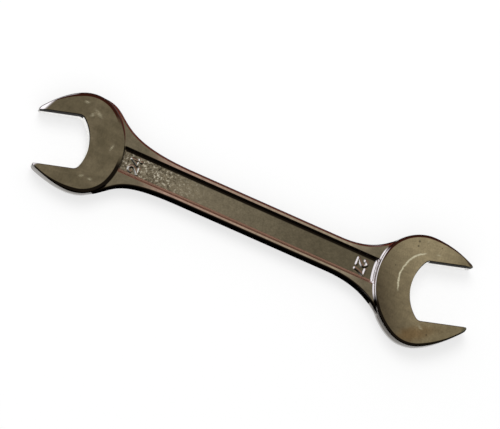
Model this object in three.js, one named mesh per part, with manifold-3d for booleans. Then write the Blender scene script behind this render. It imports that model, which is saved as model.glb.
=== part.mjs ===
// Double open end wrench for 24 mm and 27 mm nuts, in millimetres.
// It is one closed-die steel forging: a flat head at each end, a shank with a recessed web between
// two rails, and a jaw cut through each head at an angle to the shank.
// X runs along the shank from the 24 head to the 27 head, and Z is the thickness. The forging is
// drawn about the middle of the shank and its parting plane, then set down with its lowest face at
// zero and the middle of its outline at the origin.

import * as THREE from 'three';
import { mergeVertices } from 'three/addons/utils/BufferGeometryUtils.js';
import Module from 'manifold-3d';

const wasm = await Module();
wasm.setup();

// Shank and rails
const shankWidth = 16.8;
const shankThickness = 8;
const railEdgeRadius = 2;

// Recessed web
const webThickness = 3.6;
const railWidth = 2.5;
const recessFloorRadius = 0.9;
const recessRimRadius = 0.35;
const recessSlope = THREE.MathUtils.degToRad(30);
const recessWidth = shankWidth - 2 * railWidth;

// Heads
const jawAngle = THREE.MathUtils.degToRad(15.9);
const jawClearance = 0.2;
const stepFilletRadius = 1.2;
const tipRadius = 3;
const tipBevelSlope = THREE.MathUtils.degToRad(32);
const throatRadius = 19;
const throatCornerRadius = 3.1;
const forgingDraft = THREE.MathUtils.degToRad(5);

// The angle, back from the widest place of a head, where the neck runs into it
const flankMeetingAngle = THREE.MathUtils.degToRad(10);
// How much of the wall's flare is left at the jaw tips, whose ends are ground
const tipFlareShare = 0.15;
// How far the neck is sunk into the head's wall where they meet
const neckSink = 0.12;
// How far a cut or a filled part runs past the faces it has to clear
const overrun = 2;

// Each head is drawn in its jaw frame: x points out of the jaw, and y lies across it.
const head24 = {
  acrossFlats: 24,
  thickness: 10,
  // Where the head's widest line crosses its jaw axis, on the forging
  centreX: -84.2,
  centreY: -0.45,
  // The jaw frame's turn about Z
  turn: Math.PI + jawAngle,
  end: -1,
  // The outline of the flat face. Its arcs are shares of its width.
  width: 43,
  rearReachShare: 0.402,
  rearRadiusShare: 0.602,
  sideRadiusShare: 0.884,
  // How far the rear arc's centre lies off the jaw axis, towards the shank
  rearOffset: 0,
  tipReach: 21.7,
  edgeRadius: 1.3,
  throatReach: 2.3,
  // How far the throat's centre lies off the jaw axis, away from the shank
  throatOffset: 0,
  // Handles of the neck's curves, at the shank and at the head, as shares of the neck's length
  flankStart: 34,
  upperFlank: { shankHandleShare: 0.802, headHandleShare: 0.386 },
  lowerFlank: { shankHandleShare: 0.775, headHandleShare: 0.343 },
  // Jaws: how far the last arc of the outline stops inside the flat, how far behind the tip the
  // bevel starts along the flat, and the turn of its starting line from the jaw axis, in degrees
  upperJaw: { tipInset: 0.5, bevelLength: 2.4, bevelTurn: 50 },
  lowerJaw: { tipInset: 0.5, bevelLength: 2, bevelTurn: 131 },
};
const head27 = {
  acrossFlats: 27,
  thickness: 11,
  centreX: 80.85,
  centreY: -0.25,
  turn: jawAngle,
  end: 1,
  width: 49.3,
  rearReachShare: 0.402,
  rearRadiusShare: 0.607,
  sideRadiusShare: 0.974,
  rearOffset: 1.3,
  tipReach: 23.9,
  edgeRadius: 0.8,
  throatReach: 4,
  throatOffset: 0.8,
  flankStart: 39,
  upperFlank: { shankHandleShare: 0.596, headHandleShare: 0.249 },
  lowerFlank: { shankHandleShare: 0.613, headHandleShare: 0.319 },
  upperJaw: { tipInset: 0.6, bevelLength: 2.2, bevelTurn: 49 },
  lowerJaw: { tipInset: 0.1, bevelLength: 2, bevelTurn: 76 },
};

// Faces round each curve
const edgeSteps = 4;
const flankSteps = 26;
const rearSteps = 16;
const shoulderSteps = 12;
const sideSteps = 8;
const tipSteps = 5;
const filletSteps = 4;
const throatSteps = 20;
const cornerSteps = 6;

function solidOf(geometry) {
  const bare = geometry.clone();
  bare.deleteAttribute('normal');
  bare.deleteAttribute('uv');
  const merged = mergeVertices(bare);
  const mesh = new wasm.Mesh({
    numProp: 3,
    vertProperties: new Float32Array(merged.attributes.position.array),
    triVerts: new Uint32Array(merged.index.array),
  });
  return new wasm.Manifold(mesh);
}

function geometryOf(solid) {
  const mesh = solid.getMesh();
  const geometry = new THREE.BufferGeometry();
  geometry.setAttribute('position', new THREE.BufferAttribute(mesh.vertProperties, mesh.numProp));
  geometry.setIndex(new THREE.BufferAttribute(mesh.triVerts, 1));
  return geometry;
}

// A closed body through level rings that all have the same number of points, lowest first
function loft(rings) {
  const count = rings[0].outline.length;
  const positions = rings.flatMap(({ outline, z }) => outline.flatMap((point) => [point.x, point.y, z]));
  const index = [];
  for (let level = 0; level + 1 < rings.length; level++) {
    for (let i = 0; i < count; i++) {
      const here = level * count + i;
      const next = level * count + ((i + 1) % count);
      index.push(here, next, next + count, here, next + count, here + count);
    }
  }
  const top = (rings.length - 1) * count;
  for (const [a, b, c] of THREE.ShapeUtils.triangulateShape(rings[0].outline, [])) {
    index.push(c, b, a);
  }
  for (const [a, b, c] of THREE.ShapeUtils.triangulateShape(rings.at(-1).outline, [])) {
    index.push(top + a, top + b, top + c);
  }
  const geometry = new THREE.BufferGeometry();
  geometry.setAttribute('position', new THREE.Float32BufferAttribute(positions, 3));
  geometry.setIndex(index);
  return geometry;
}

// The wall of a forging from its lower to its upper face: drafted up from the parting plane, then
// rounded over. Each step has its height and how far it lies in from the parting line.
function edgeProfile(thickness, radius) {
  const roundCentre = thickness / 2 - radius;
  const wallTop = roundCentre + radius * Math.sin(forgingDraft);
  const faceInset = radius * Math.cos(forgingDraft) + wallTop * Math.tan(forgingDraft);
  const upper = [{ z: 0, inset: 0 }];
  for (let step = 0; step <= edgeSteps; step++) {
    const angle = THREE.MathUtils.lerp(forgingDraft, Math.PI / 2, step / edgeSteps);
    upper.push({
      z: roundCentre + radius * Math.sin(angle),
      inset: faceInset - radius * Math.cos(angle),
    });
  }
  const lower = upper.slice(1).reverse().map(({ z, inset }) => ({ z: -z, inset }));
  return { steps: [...lower, ...upper], faceInset };
}

function arcPoints(centre, radius, from, to, steps) {
  const points = [];
  for (let step = 0; step < steps; step++) {
    const angle = THREE.MathUtils.lerp(from, to, step / steps);
    const x = centre.x + radius * Math.cos(angle);
    const y = centre.y + radius * Math.sin(angle);
    points.push(new THREE.Vector2(x, y));
  }
  return points;
}

function directionFrom(a, b) {
  return Math.atan2(b.y - a.y, b.x - a.x);
}

function gapOf(head) {
  return head.acrossFlats + jawClearance;
}

// One side of a head in its jaw frame, with y outwards. The shoulder arc is tangent to the rear arc
// and to the widest line.
function shoulderOf(head, flare, side) {
  const halfWidth = head.width / 2 + flare;
  const rearRadius = head.width * head.rearRadiusShare + flare;
  const rearCentre = new THREE.Vector2(
    head.width * (head.rearRadiusShare - head.rearReachShare),
    side * head.end * head.rearOffset,
  );
  const reach = halfWidth - rearCentre.y;
  const radius = (rearRadius ** 2 - rearCentre.x ** 2 - reach ** 2) / (2 * (rearRadius - reach));
  return { rearCentre, rearRadius, radius, centre: new THREE.Vector2(0, halfWidth - radius) };
}

// Half the outline of a head, grown by its flare: tip, side, shoulder and rear arcs, each tangent
// to the next. The side arc's centre lies where both of its neighbours are tangent to it.
function halfOutline(head, flare, side) {
  const { rearCentre, rearRadius, radius, centre } = shoulderOf(head, flare, side);
  const { tipInset } = side * head.end > 0 ? head.upperJaw : head.lowerJaw;
  const sideRadius = head.width * head.sideRadiusShare;
  const tipCentre = new THREE.Vector2(
    head.tipReach + flare * tipFlareShare - tipRadius,
    gapOf(head) / 2 - tipInset,
  );
  const toShoulder = sideRadius - radius;
  const toTip = sideRadius - tipRadius;
  const apart = centre.distanceTo(tipCentre);
  const along = (toShoulder ** 2 - toTip ** 2 + apart ** 2) / (2 * apart);
  const across = Math.sqrt(toShoulder ** 2 - along ** 2);
  const line = tipCentre.clone().sub(centre).normalize();
  const sideCentre = new THREE.Vector2(
    centre.x + along * line.x + across * line.y,
    centre.y + along * line.y - across * line.x,
  );
  const tipEnd = directionFrom(sideCentre, tipCentre);
  const sideEnd = directionFrom(sideCentre, centre);
  const shoulderEnd = directionFrom(rearCentre, centre);
  return [
    ...arcPoints(tipCentre, tipRadius, 0, tipEnd, tipSteps),
    ...arcPoints(sideCentre, sideRadius, tipEnd, sideEnd, sideSteps),
    ...arcPoints(centre, radius, sideEnd, shoulderEnd, shoulderSteps),
    ...arcPoints(rearCentre, rearRadius, shoulderEnd, Math.PI, rearSteps),
  ];
}

function headOutline(head, flare) {
  const { rearCentre, rearRadius } = shoulderOf(head, flare, 1);
  const rear = new THREE.Vector2(rearCentre.x - rearRadius, rearCentre.y);
  const lower = halfOutline(head, flare, -1).map((point) => new THREE.Vector2(point.x, -point.y));
  return [...halfOutline(head, flare, 1), rear, ...lower.reverse()];
}

function jawFrame(head) {
  return new THREE.Matrix4().makeRotationZ(head.turn).setPosition(head.centreX, head.centreY, 0);
}

function inJawFrame(head, geometry) {
  return solidOf(geometry.applyMatrix4(jawFrame(head)));
}

function headBlock(head) {
  const { steps, faceInset } = edgeProfile(head.thickness, head.edgeRadius);
  const rings = steps.map(({ z, inset }) => ({ z, outline: headOutline(head, faceInset - inset) }));
  return inJawFrame(head, loft(rings));
}

// The hollow fillet where the recessed web runs up into the head's wall, on both faces
function webFillet(head) {
  const { faceInset } = edgeProfile(head.thickness, head.edgeRadius);
  const rings = [];
  for (let step = 0; step <= filletSteps; step++) {
    const angle = (Math.PI / 2) * (step / filletSteps);
    const rise = stepFilletRadius * (1 - Math.cos(angle));
    const reach = stepFilletRadius * (1 - Math.sin(angle));
    const z = webThickness / 2 + rise;
    rings.push({ z, outline: headOutline(head, faceInset - z * Math.tan(forgingDraft) + reach) });
  }
  const below = rings.slice().reverse().map(({ z, outline }) => ({ z: -z, outline }));
  const bayLength = Math.abs(head.centreX);
  const bay = new THREE.BoxGeometry(bayLength, recessWidth, shankThickness);
  bay.translate((head.end * bayLength) / 2, 0, 0);
  return inJawFrame(head, loft([...below, ...rings])).intersect(solidOf(bay));
}

// The jaw is cut straight through: two flats, a throat arc and a round in each corner.
function jawCut(head) {
  const half = gapOf(head) / 2;
  const throat = new THREE.Vector2(throatRadius - head.throatReach, -head.end * head.throatOffset);
  const cornerOn = (side) => {
    const y = side * (half - throatCornerRadius);
    const run = Math.sqrt((throatRadius - throatCornerRadius) ** 2 - (y - throat.y) ** 2);
    return new THREE.Vector2(throat.x - run, y);
  };
  const upperCorner = cornerOn(1);
  const lowerCorner = cornerOn(-1);
  const throatStart = directionFrom(throat, upperCorner);
  const throatEnd = directionFrom(throat, lowerCorner) + 2 * Math.PI;
  const outline = [
    ...arcPoints(upperCorner, throatCornerRadius, Math.PI / 2, throatStart, cornerSteps),
    ...arcPoints(throat, throatRadius, throatStart, throatEnd, throatSteps),
    ...arcPoints(lowerCorner, throatCornerRadius, throatEnd, (3 * Math.PI) / 2, cornerSteps),
    new THREE.Vector2(lowerCorner.x, -half),
    new THREE.Vector2(head.tipReach + overrun, -half),
    new THREE.Vector2(head.tipReach + overrun, half),
  ];
  const depth = head.thickness + 2 * overrun;
  const cut = new THREE.ExtrudeGeometry(new THREE.Shape(outline), { depth, bevelEnabled: false });
  return inJawFrame(head, cut.translate(0, 0, -depth / 2));
}

// One sloping grind across the end of a jaw. It starts on the face along a slanted line.
function tipBevel(head, jaw, side, face) {
  const size = gapOf(head);
  const grind = new THREE.BoxGeometry(size, size, size);
  grind.translate(0, 0, size / 2);
  grind.rotateX(-tipBevelSlope);
  grind.rotateZ(-THREE.MathUtils.degToRad(jaw.bevelTurn));
  grind.translate(head.tipReach - jaw.bevelLength, gapOf(head) / 2, head.thickness / 2);
  const mirror = new THREE.Matrix4().makeScale(1, side, face);
  grind.applyMatrix4(mirror);
  return inJawFrame(head, side * face < 0 ? turnedInsideOut(grind) : grind);
}

function turnedInsideOut(geometry) {
  const index = geometry.index.array;
  for (let i = 0; i < index.length; i += 3) {
    [index[i], index[i + 1]] = [index[i + 1], index[i]];
  }
  return geometry;
}

// One edge of the neck in plan, from the shank to the shoulder of a head. It is one cubic curve,
// tangent to both, set in from the parting line.
function flankPoints(head, side, inset) {
  const { faceInset } = edgeProfile(head.thickness, head.edgeRadius);
  const { centre, radius } = shoulderOf(head, faceInset, side * head.end);
  const axis = new THREE.Vector2(Math.cos(head.turn), Math.sin(head.turn));
  const outward = new THREE.Vector2(-Math.sin(jawAngle), Math.cos(jawAngle)).multiplyScalar(side);
  const normal = outward.clone().multiplyScalar(Math.cos(flankMeetingAngle))
    .addScaledVector(axis, -Math.sin(flankMeetingAngle));
  const tangent = outward.clone().multiplyScalar(-Math.sin(flankMeetingAngle))
    .addScaledVector(axis, -Math.cos(flankMeetingAngle));
  const flank = side > 0 ? head.upperFlank : head.lowerFlank;
  const start = new THREE.Vector2(head.end * head.flankStart, (side * shankWidth) / 2);
  const finish = new THREE.Vector2(head.centreX, head.centreY)
    .addScaledVector(outward, centre.y)
    .addScaledVector(normal, radius - neckSink);
  const neckLength = start.distanceTo(finish);
  const curve = new THREE.CubicBezierCurve(
    start,
    start.clone().add(new THREE.Vector2(head.end * neckLength * flank.shankHandleShare, 0)),
    finish.clone().addScaledVector(tangent, neckLength * flank.headHandleShare),
    finish,
  );
  const points = [];
  for (let step = 0; step <= flankSteps; step++) {
    const point = curve.getPoint(step / flankSteps);
    const along = curve.getTangent(step / flankSteps);
    const inward = new THREE.Vector2(-along.y, along.x).multiplyScalar(-head.end * side);
    points.push(point.addScaledVector(inward, inset));
  }
  return points;
}

function shankOutline(inset) {
  return [
    ...flankPoints(head24, -1, inset).reverse(),
    ...flankPoints(head27, -1, inset),
    ...flankPoints(head27, 1, inset).reverse(),
    ...flankPoints(head24, 1, inset),
  ];
}

function shankBar() {
  const { steps } = edgeProfile(shankThickness, railEdgeRadius);
  return solidOf(loft(steps.map(({ z, inset }) => ({ z, outline: shankOutline(inset) }))));
}

// The recess above the web: a long trough with sloping sides, a round along each side of its floor
// and a small round along each rim
function recessCut(face) {
  const floor = webThickness / 2;
  const crest = shankThickness / 2;
  const rimY = recessWidth / 2;
  const floorY = rimY - (crest - floor) * Math.tan(recessSlope);
  const cornerOffset = Math.tan((Math.PI / 2 - recessSlope) / 2);
  const floorCentre = new THREE.Vector2(
    floorY - recessFloorRadius * cornerOffset,
    floor + recessFloorRadius,
  );
  const rimCentre = new THREE.Vector2(rimY + recessRimRadius * cornerOffset, crest - recessRimRadius);
  const right = [
    ...arcPoints(floorCentre, recessFloorRadius, -Math.PI / 2, -recessSlope, filletSteps),
    new THREE.Vector2(
      floorCentre.x + recessFloorRadius * Math.cos(recessSlope),
      floorCentre.y - recessFloorRadius * Math.sin(recessSlope),
    ),
    ...arcPoints(rimCentre, recessRimRadius, Math.PI - recessSlope, Math.PI / 2, filletSteps),
    new THREE.Vector2(rimCentre.x, crest),
    new THREE.Vector2(rimCentre.x, crest + overrun),
  ];
  const left = right.map((point) => new THREE.Vector2(-point.x, point.y)).reverse();
  const from = head24.centreX + (head24.width * head24.rearReachShare) / 2;
  const depth = head27.centreX - (head27.width * head27.rearReachShare) / 2 - from;
  const profile = new THREE.Shape([...right, ...left]);
  const trough = new THREE.ExtrudeGeometry(profile, { depth, bevelEnabled: false });
  // The profile's own x lies across the shank, its y is the height, and it runs along X.
  const basis = new THREE.Matrix4().makeBasis(
    new THREE.Vector3(0, 1, 0),
    new THREE.Vector3(0, 0, 1),
    new THREE.Vector3(1, 0, 0),
  );
  trough.applyMatrix4(basis).translate(from, 0, 0);
  return solidOf(face > 0 ? trough : trough.rotateX(Math.PI));
}

function forging() {
  let body = shankBar().subtract(recessCut(1)).subtract(recessCut(-1));
  for (const head of [head24, head27]) {
    body = body.add(headBlock(head)).add(webFillet(head)).subtract(jawCut(head));
    for (const face of [1, -1]) {
      body = body.subtract(tipBevel(head, head.upperJaw, head.end, face));
      body = body.subtract(tipBevel(head, head.lowerJaw, -head.end, face));
    }
  }
  return body;
}

// The length of forging between two planes across the shank
function lengthBetween(body, from, to) {
  const width = head27.width * 2;
  const slice = new THREE.BoxGeometry(to - from, width, width);
  return body.intersect(solidOf(slice.translate((from + to) / 2, 0, 0)));
}

const nickelChrome = { color: 0x8a7f68, metalness: 0.9, roughness: 0.32 };

function region(name, solid) {
  const geometry = geometryOf(solid);
  const mesh = new THREE.Mesh(geometry, new THREE.MeshStandardMaterial({ ...nickelChrome, name }));
  mesh.name = name;
  return mesh;
}

const wrench = new THREE.Group();
const whole = forging();
const barStart = overrun - head24.flankStart;
const barEnd = head27.flankStart - overrun;
const leftEnd = head24.centreX - head24.width;
const rightEnd = head27.centreX + head27.width;
wrench.add(region('head_24', lengthBetween(whole, leftEnd, barStart)));
wrench.add(region('shank', lengthBetween(whole, barStart, barEnd)));
wrench.add(region('head_27', lengthBetween(whole, barEnd, rightEnd)));

const bounds = new THREE.Box3().setFromObject(wrench, true);
const middle = bounds.getCenter(new THREE.Vector3());
wrench.position.set(-middle.x, -middle.y, -bounds.min.z);

export default wrench;
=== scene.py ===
import math

import bpy
import numpy as np
from mathutils import Matrix, Vector


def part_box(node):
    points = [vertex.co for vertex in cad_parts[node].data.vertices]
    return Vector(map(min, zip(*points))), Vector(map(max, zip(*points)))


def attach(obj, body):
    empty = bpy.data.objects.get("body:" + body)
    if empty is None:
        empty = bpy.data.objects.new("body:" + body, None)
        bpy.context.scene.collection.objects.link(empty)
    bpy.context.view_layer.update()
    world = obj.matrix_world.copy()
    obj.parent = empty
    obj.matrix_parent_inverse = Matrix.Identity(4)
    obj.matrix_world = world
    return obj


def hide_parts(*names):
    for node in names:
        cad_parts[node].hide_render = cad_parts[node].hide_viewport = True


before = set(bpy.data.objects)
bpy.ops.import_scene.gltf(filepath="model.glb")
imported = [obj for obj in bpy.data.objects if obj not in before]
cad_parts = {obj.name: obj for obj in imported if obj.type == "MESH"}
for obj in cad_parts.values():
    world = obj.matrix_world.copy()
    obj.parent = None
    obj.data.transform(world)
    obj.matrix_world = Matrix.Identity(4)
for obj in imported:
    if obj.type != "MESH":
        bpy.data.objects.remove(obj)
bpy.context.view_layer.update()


# The shank
# The straight bar of the wrench, drop forged from one billet of alloy steel together with both
# heads. It runs along X between them, and its flanks sweep out into the heads as the necks.
MM = 0.001
shank_width = 16.8
shank_thickness = 8.0
rail_edge_radius = 2.0
forging_draft = math.radians(5)
flash_trim = 0.07
land_edge_radius = 0.03
bar_start = -32.0
bar_end = 37.0

# Everything below is measured in millimetres from the middle of the forging's parting plane, as the
# dies are drawn. The shank gives that point's place in the frame.
low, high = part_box("shank")
forging_origin = (low + high) / 2 - Vector(((bar_start + bar_end) / 2 * MM, 0, 0))
scene = bpy.context.scene


def blend_max(a, b, radius):
    """The larger of two distances, with the edge that they form rounded to the radius."""
    corner = np.hypot(np.maximum(a + radius, 0), np.maximum(b + radius, 0))
    return np.minimum(np.maximum(a, b), -radius) + corner


def smooth_step(start, stop, value):
    share = np.clip((value - start) / (stop - start), 0, 1)
    return share * share * (3 - 2 * share)


def face_inset(thickness, radius):
    """How far inside the parting line the flat face ends, with its rounded edge and drafted wall."""
    wall_top = thickness / 2 - radius + radius * math.sin(forging_draft)
    return radius * math.cos(forging_draft) + wall_top * math.tan(forging_draft)


def die_wall(out, height, thickness, radius, reach_share):
    """Distance to one half of a forging: flat face, rounded edge, drafted wall, trimmed parting line.
    out is measured in plan from the face's outline. reach_share narrows the edge where it is ground."""
    spread = out / reach_share
    rise = height - (thickness / 2 - radius)
    wall = spread * math.cos(forging_draft) + rise * math.sin(forging_draft) - radius
    face = height - thickness / 2
    away = np.hypot(spread, rise)
    rounded = (spread > 0) & (rise > spread * math.tan(forging_draft))
    flat_across = np.where(wall > face, math.cos(forging_draft), 0)
    across = np.where(rounded, spread / np.maximum(away, 1e-9), flat_across)
    distance = np.where(rounded, away - radius, np.maximum(wall, face))
    distance = distance / np.sqrt((across / reach_share) ** 2 + 1 - across**2)
    land = out - (face_inset(thickness, radius) - flash_trim) * reach_share
    return blend_max(distance, land, land_edge_radius)


# The heads
# A flat, nearly round head at each end, turned 15.9 degrees from the shank so that the jaw can take
# a new grip after 30 degrees. The faces are ground level after forging, and the tips ground off.
jaw_angle = math.radians(15.9)
jaw_clearance = 0.2
tip_radius = 3.0
tip_bevel_slope = math.radians(32)
throat_radius = 19.0
throat_corner_radius = 3.1
flank_meeting_angle = math.radians(10)
neck_sink = 0.12
ground_start = 2.0
ground_share = 0.88
jaw_edge_radius = 0.6
bevel_edge_radius = 0.55

head_24 = {
    "across_flats": 24, "thickness": 10, "centre": (-84.2, -0.45), "end": -1,
    "turn": math.pi + jaw_angle, "width": 43, "rear_reach": 0.402, "rear_radius": 0.602,
    "side_radius": 0.884, "rear_offset": 0, "tip_reach": 21.7, "edge_radius": 1.3,
    "throat_reach": 2.3, "throat_offset": 0, "flank_start": 34,
    "flanks": {1: (0.802, 0.386), -1: (0.775, 0.343)},
    "tip_insets": {1: 0.5, -1: 0.5},
    "bevels": {1: (2.4, 50), -1: (2, 131)},
}
head_27 = {
    "across_flats": 27, "thickness": 11, "centre": (80.85, -0.25), "end": 1,
    "turn": jaw_angle, "width": 49.3, "rear_reach": 0.402, "rear_radius": 0.607,
    "side_radius": 0.974, "rear_offset": 1.3, "tip_reach": 23.9, "edge_radius": 0.8,
    "throat_reach": 4, "throat_offset": 0.8, "flank_start": 39,
    "flanks": {1: (0.596, 0.249), -1: (0.613, 0.319)},
    "tip_insets": {1: 0.6, -1: 0.1},
    "bevels": {1: (2.2, 49), -1: (2, 76)},
}


def direction(start, stop):
    return math.atan2(stop[1] - start[1], stop[0] - start[0])


def shoulder(head, flare, side):
    """The arc between a head's rear arc and its widest line: rear centre and radius, then its own."""
    half_width = head["width"] / 2 + flare
    rear_radius = head["width"] * head["rear_radius"] + flare
    rear_x = head["width"] * (head["rear_radius"] - head["rear_reach"])
    rear = (rear_x, side * head["end"] * head["rear_offset"])
    reach = half_width - rear[1]
    radius = (rear_radius**2 - rear[0] ** 2 - reach**2) / (2 * (rear_radius - reach))
    return rear, rear_radius, (0, half_width - radius), radius


def side_arcs(head, side):
    """One side of the face's outline, y outwards: tip, side and shoulder, then half of the rear arc."""
    rear, rear_radius, centre, radius = shoulder(head, 0, side)
    gap = head["across_flats"] + jaw_clearance
    inset = head["tip_insets"][side * head["end"]]
    tip = (head["tip_reach"] - tip_radius, gap / 2 - inset)
    side_radius = head["width"] * head["side_radius"]
    to_shoulder = side_radius - radius
    to_tip = side_radius - tip_radius
    apart = math.dist(centre, tip)
    along = (to_shoulder**2 - to_tip**2 + apart**2) / (2 * apart)
    across = math.sqrt(to_shoulder**2 - along**2)
    line = ((tip[0] - centre[0]) / apart, (tip[1] - centre[1]) / apart)
    middle_x = centre[0] + along * line[0] + across * line[1]
    middle = (middle_x, centre[1] + along * line[1] - across * line[0])
    turns = [0, direction(middle, tip), direction(middle, centre), direction(rear, centre), math.pi]
    circles = [(tip, tip_radius), (middle, side_radius), (centre, radius), (rear, rear_radius)]
    return [(c, r, turns[i], turns[i + 1]) for i, (c, r) in enumerate(circles)]


def jaw_arcs(head):
    """The opening of a jaw: the throat and a round in each corner. The flats run on from the rounds."""
    half = (head["across_flats"] + jaw_clearance) / 2
    throat = (throat_radius - head["throat_reach"], -head["end"] * head["throat_offset"])
    corners = []
    for side in (1, -1):
        y = side * (half - throat_corner_radius)
        run = math.sqrt((throat_radius - throat_corner_radius) ** 2 - (y - throat[1]) ** 2)
        corners.append((throat[0] - run, y))
    start = direction(throat, corners[0])
    stop = direction(throat, corners[1]) + 2 * math.pi
    return [
        (corners[0], throat_corner_radius, math.pi / 2, start),
        (throat, throat_radius, start, stop),
        (corners[1], throat_corner_radius, stop, 3 * math.pi / 2),
    ]


def beyond_arcs(x, y, arcs):
    """How far a point lies outside a convex outline of arcs, each tangent to the next."""
    distance = None
    for (cx, cy), radius, start, stop in arcs:
        dx, dy = x - cx, y - cy
        at_start = dx * math.cos(start) + dy * math.sin(start)
        at_stop = dx * math.cos(stop) + dy * math.sin(stop)
        middle = (start + stop) / 2
        away = np.hypot(dx, dy)
        facing = dx * math.cos(middle) + dy * math.sin(middle) >= away * math.cos((stop - start) / 2)
        beyond = np.where(facing, away, np.maximum(at_start, at_stop)) - radius
        distance = beyond if distance is None else np.maximum(distance, beyond)
    return distance


def in_jaw_frame(head, x, y):
    """Turns forging coordinates into the head's own: x out of the jaw, y across it."""
    dx, dy = x - head["centre"][0], y - head["centre"][1]
    cos, sin = math.cos(head["turn"]), math.sin(head["turn"])
    return dx * cos + dy * sin, dy * cos - dx * sin


def head_body(head, x, y, height):
    jaw_x, jaw_y = in_jaw_frame(head, x, y)
    upper = beyond_arcs(jaw_x, jaw_y, side_arcs(head, 1))
    lower = beyond_arcs(jaw_x, -jaw_y, side_arcs(head, -1))
    ground = smooth_step(ground_start, head["tip_reach"] - tip_radius, jaw_x)
    out = np.maximum(upper, lower)
    return die_wall(out, height, head["thickness"], head["edge_radius"], 1 - ground_share * ground)


def cut_jaw(head, body, x, y, height):
    """Broaches the jaw through a head and grinds the two tips off on both faces."""
    jaw_x, jaw_y = in_jaw_frame(head, x, y)
    opening = beyond_arcs(jaw_x, jaw_y, jaw_arcs(head))
    body = blend_max(body, -opening, jaw_edge_radius)
    half = (head["across_flats"] + jaw_clearance) / 2
    for side in (1, -1):
        length, turn = head["bevels"][side * head["end"]]
        turn = math.radians(turn)
        along = (jaw_x - head["tip_reach"] + length) * math.sin(turn)
        back = along + (side * jaw_y - half) * math.cos(turn)
        rise = height - head["thickness"] / 2
        grind = back * math.sin(tip_bevel_slope) + rise * math.cos(tip_bevel_slope)
        body = np.where(side * jaw_y > 0, blend_max(body, grind, bevel_edge_radius), body)
    return body


# The necks
# Where the shank sweeps out to each head. Each edge is one cubic curve in plan, tangent to the shank
# and to the shoulder of the head, and the rails widen along it.
flank_steps = 96
bar_stop = 3.0


def flank_curve(head, side):
    """The parting line of one edge of a neck, from the shank to the head, as points along it."""
    inset = face_inset(head["thickness"], head["edge_radius"])
    _, _, centre, radius = shoulder(head, inset, side * head["end"])
    axis = np.array([math.cos(head["turn"]), math.sin(head["turn"])])
    outward = side * np.array([-math.sin(jaw_angle), math.cos(jaw_angle)])
    normal = outward * math.cos(flank_meeting_angle) - axis * math.sin(flank_meeting_angle)
    tangent = -outward * math.sin(flank_meeting_angle) - axis * math.cos(flank_meeting_angle)
    start = np.array([head["end"] * head["flank_start"], side * shank_width / 2])
    finish = np.array(head["centre"]) + outward * centre[1] + normal * (radius - neck_sink)
    length = math.dist(start, finish)
    at_shank, at_head = head["flanks"][side]
    first = start + [head["end"] * length * at_shank, 0]
    second = finish + tangent * length * at_head
    t = np.linspace(0, 1, flank_steps + 1)[:, None]
    near = start * (1 - t) ** 3 + 3 * first * t * (1 - t) ** 2
    return near + 3 * second * t**2 * (1 - t) + finish * t**3


flank_lines = {}
for side in (1, -1):
    points = np.concatenate([flank_curve(head_24, side)[::-1], flank_curve(head_27, side)])
    slope = np.gradient(points[:, 1], points[:, 0])
    flank_lines[side] = (points[:, 0], points[:, 1], slope)


def bar_outline(x, y):
    """How far a point lies outside the parting line of the shank and both necks."""
    out = None
    for side, (line_x, line_y, line_slope) in flank_lines.items():
        slope = np.interp(x, line_x, line_slope)
        beyond = side * (y - np.interp(x, line_x, line_y)) / np.sqrt(1 + slope**2)
        out = beyond if out is None else np.maximum(out, beyond)
    # The bar ends inside each head, a little short of its middle.
    for head in (head_24, head_27):
        jaw_x, _ = in_jaw_frame(head, x, y)
        out = np.maximum(out, jaw_x + bar_stop)
    return out


# The recessed web
# A long trough sunk into each face of the shank by the dies, between two rails. Its floor is the
# forged skin, never ground, so it is the roughest place on the wrench.
web_thickness = 3.6
rail_width = 2.5
recess_slope = math.radians(30)
recess_floor_radius = 0.9
recess_rim_radius = 0.35
web_fillet_radius = {-1: 1.2, 1: 2.3}
rail_fillet_radius = {-1: 0.6, 1: 0.9}


def recessed_bar(x, y, height):
    out = bar_outline(x, y)
    inset = face_inset(shank_thickness, rail_edge_radius)
    bar = die_wall(out + inset, height, shank_thickness, rail_edge_radius, 1)
    rim = shank_width / 2 - rail_width - (shank_thickness / 2 - height) * math.tan(recess_slope)
    wall = (np.abs(y) - rim) * math.cos(recess_slope)
    trough = blend_max(wall, web_thickness / 2 - height, recess_floor_radius)
    return blend_max(bar, -trough, recess_rim_radius), out


# The size marks
# The raised numbers 24 and 27 on the web, each with its top towards its own head. They were cut into
# the dies, so they stand up from the web as rounded ridges with sloping sides.
mark_height = 0.55
mark_half_stroke = 0.8
mark_draft = math.radians(50)
mark_edge_radius = 0.25
mark_foot_radius = 0.15
digit_width = 2.9
digit_height = 4.7
digit_gap = 0.95
# A stroke runs from its first point to its last and bends towards the one between, in shares of a
# digit's width and height.
digit_strokes = {
    "2": [
        (0.04, 0.72, 0.5, 1.28, 0.96, 0.72),
        (0.96, 0.72, 0.96, 0.46, 0.0, 0.0),
        (0.0, 0.0, 0.5, 0.0, 1.0, 0.0),
    ],
    "4": [
        (0.7, 0.0, 0.7, 0.5, 0.7, 1.0),
        (0.7, 1.0, 0.35, 0.64, 0.0, 0.28),
        (0.0, 0.28, 0.5, 0.28, 1.0, 0.28),
    ],
    "7": [
        (0.0, 1.0, 0.5, 1.0, 1.0, 1.0),
        (1.0, 1.0, 0.55, 0.5, 0.38, 0.0),
    ],
}
# Each number with its middle on the web and the direction along X in which its top points
size_marks = [("24", -59.0, -0.3, -1), ("27", 52.7, -0.6, 1)]
stroke_steps = 7
far_from_marks = 50.0


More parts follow.
